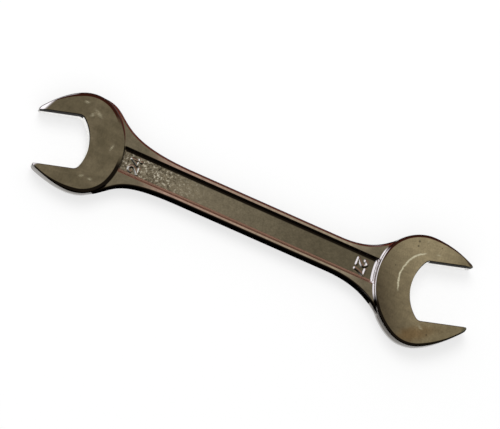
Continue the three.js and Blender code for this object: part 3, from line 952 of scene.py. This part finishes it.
# The light tent
# A dome of white cloth round the table, which only the plating's reflections see. Its front is
# hung low with black cloth, with a grey sheet at its right end. Its back is dimmer and warm, and
# it has one bright window at the left.
tent_radius = 1.2
tent_rings = 12
tent_spokes = 48
tent_climb = math.radians(92)
white_cloth = (1, 1, 1, 1)
warm_cloth = (0.5, 0.4, 0.36, 1)
black_cloth = (0.006, 0.006, 0.006, 1)
grey_sheet = (0.8, 0.77, 0.72, 1)
bright_window = (1.35, 1.35, 1.35, 1)


def reflected_only(thing):
    """Hides a thing from everything but the plating's reflections."""
    for rays in ("camera", "diffuse", "shadow", "transmission"):
        setattr(thing, "visible_" + rays, False)


tent_points = []
for ring in range(tent_rings + 1):
    climb = tent_climb * (1 - ring / tent_rings)
    for spoke in range(tent_spokes):
        swing = 2 * math.pi * spoke / tent_spokes
        reach = tent_radius * math.sin(climb)
        tent_points.append((reach * math.cos(swing), reach * math.sin(swing), tent_radius * math.cos(climb)))
tent_faces = []
for ring in range(tent_rings):
    for spoke in range(tent_spokes):
        here = ring * tent_spokes + spoke
        beside = ring * tent_spokes + (spoke + 1) % tent_spokes
        tent_faces.append((here, here + tent_spokes, beside + tent_spokes, beside))
tent_mesh = bpy.data.meshes.new("light_tent")
tent_mesh.from_pydata(tent_points, [], tent_faces)
tent = bpy.data.objects.new("light_tent", tent_mesh)
scene.collection.objects.link(tent)
reflected_only(tent)

cloth = bpy.data.materials.new("tent_cloth")
cloth.use_nodes = True
cloth.cycles.emission_sampling = "NONE"
tree = cloth.node_tree
coordinates = add_node("TexCoord", [])
toward = add_node("VectorMath", [coordinates["Object"]], operation="NORMALIZE")[0]
_, back_share, up_share = add_node("SeparateXYZ", [toward])
far_back = add_node("MapRange", [back_share, 0.8, 1.0], **soft)[0]
light = add_node("Mix", {0: far_back, 6: white_cloth, 7: warm_cloth}, **of_colours)[2]
front = add_node("MapRange", [back_share, -0.25, -0.75], **soft)[0]
low_down = add_node("MapRange", [up_share, 0.38, 0.25], **soft)[0]
front = add_node("Math", [front, low_down], **product)[0]
light = add_node("Mix", {0: front, 6: light, 7: black_cloth}, **of_colours)[2]
# The grey sheet and the window: the way to each, and where its edge begins and ends
for way, outer, inner, tone in (
    ((0.721, -0.649, 0.242), 0.9, 0.95, grey_sheet),
    ((-0.766, 0.498, 0.407), 0.965, 0.99, bright_window),
):
    share = add_node("VectorMath", [toward, way], operation="DOT_PRODUCT")[1]
    share = add_node("MapRange", [share, outer, inner], **soft)[0]
    light = add_node("Mix", {0: share, 6: light, 7: tone}, **of_colours)[2]
glow = add_node("Emission", {"Color": light, "Strength": 1.0})[0]
tree.links.new(glow, tree.nodes["Material Output"].inputs["Surface"])
tent_mesh.materials.append(cloth)


# The black cards
# Strips of black card laid on the paper along the wrench, also seen only in its reflections. They
# draw its outer edges dark. Round the heads a line of white paper is left to show, for a light rim.
front_width = 400.0
back_width = 16.0
narrow_gap = -3.0
wide_gap = 2.8
slant_gap = 1.0
neck_ends = (-71.0, 63.0)
rear_arc = 3
rear_reach = 0.6
arc_steps = 12
card_lift = 0.0001
card_quads = []


def lay_strip(points, ways, gaps, width):
    """Lays one strip beside a line of points, each with its outward way and its own gap."""
    inner = points + ways * gaps[:, None]
    outer = points + ways * (gaps[:, None] + width)
    card_quads.extend(zip(inner[:-1], outer[:-1], outer[1:], inner[1:]))


for side, width in ((1, back_width), (-1, front_width)):
    line_x, line_y, line_slope = flank_lines[side]
    ways = side * np.stack([-line_slope, np.ones_like(line_slope)], 1)
    ways /= np.linalg.norm(ways, axis=1)[:, None]
    line = np.stack([line_x, line_y], 1)
    necks = (line_x > neck_ends[0]) & (line_x < neck_ends[1])
    lay_strip(line[necks], ways[necks], np.full(necks.sum(), narrow_gap), width)
    for head in (head_24, head_27):
        inset = face_inset(head["thickness"], head["edge_radius"])
        jaw_side = side * head["end"]
        cos, sin = math.cos(head["turn"]), math.sin(head["turn"])
        spin = np.array([[cos, sin], [-sin, cos]])
        for arc, (centre, radius, start, stop) in enumerate(side_arcs(head, jaw_side)):
            angle = np.linspace(start, stop, arc_steps + 1)
            local = np.stack([np.cos(angle), jaw_side * np.sin(angle)], 1)
            middle = np.array([centre[0], jaw_side * centre[1]])
            ways = local @ spin
            line = (middle + local * (radius + inset)) @ spin + head["centre"]
            # Where the white rim is left: below both heads, and above the left half of the large one
            rim = np.full(len(ways), arc > 0 or head is head_24)
            if side > 0:
                rim = smooth_step(0.15, -0.15, ways[:, 0]) * (head is head_27)
            rim_gap = wide_gap + slant_gap * np.abs(ways[:, 1])
            gaps = narrow_gap + (rim_gap - narrow_gap) * rim
            # The rear arc has its card only up to the neck.
            shown = side * ways[:, 1] > (rear_reach if arc == rear_arc else -1)
            lay_strip(line[shown], ways[shown], gaps[shown], width)

card_points = [(x * MM, y * MM, 0) for quad in card_quads for x, y in quad]
card_faces = [tuple(range(4 * i, 4 * i + 4)) for i in range(len(card_quads))]
card_mesh = bpy.data.meshes.new("black_card")
card_mesh.from_pydata(card_points, [], card_faces)
card = bpy.data.objects.new("black_card", card_mesh)
card.location = (forging_origin.x, forging_origin.y, card_lift)
scene.collection.objects.link(card)
reflected_only(card)

pulp = bpy.data.materials.new("black_card")
pulp.use_nodes = True
surface = pulp.node_tree.nodes["Principled BSDF"]
surface.inputs["Base Color"].default_value = linear("#0A0A0A")
surface.inputs["Specular IOR Level"].default_value = 0.0
card_mesh.materials.append(pulp)


# The light on the paper
# Even light from all round, and one large soft lamp overhead to the upper left.
light_all_round = 0.75

world = bpy.data.worlds.new("studio")
scene.world = world
world.use_nodes = True
world.cycles_visibility.glossy = False
tree = world.node_tree
rays = add_node("LightPath", [])
seen = rays["Is Camera Ray"]
for kind in ("Is Glossy Ray", "Is Transmission Ray"):
    seen = add_node("Math", [seen, rays[kind]], **largest)[0]
strength = add_node("MapRange", {0: seen, 3: light_all_round, 4: 1.0})[0]
tree.links.new(strength, tree.nodes["Background"].inputs["Strength"])
tree.nodes["Background"].inputs["Color"].default_value = (1, 1, 1, 1)

lamp_data = bpy.data.lights.new("soft_lamp", "AREA")
lamp_data.shape = "DISK"
lamp_data.size = 1.0
lamp_data.energy = 14.0
lamp = bpy.data.objects.new("soft_lamp", lamp_data)
lamp.location = (-0.45, 0.7, 1.5)
lamp.rotation_euler = Vector(lamp.location).to_track_quat("Z", "Y").to_euler()
lamp.visible_glossy = False
lamp.visible_camera = False
scene.collection.objects.link(lamp)

scene.view_settings.view_transform = "Standard"
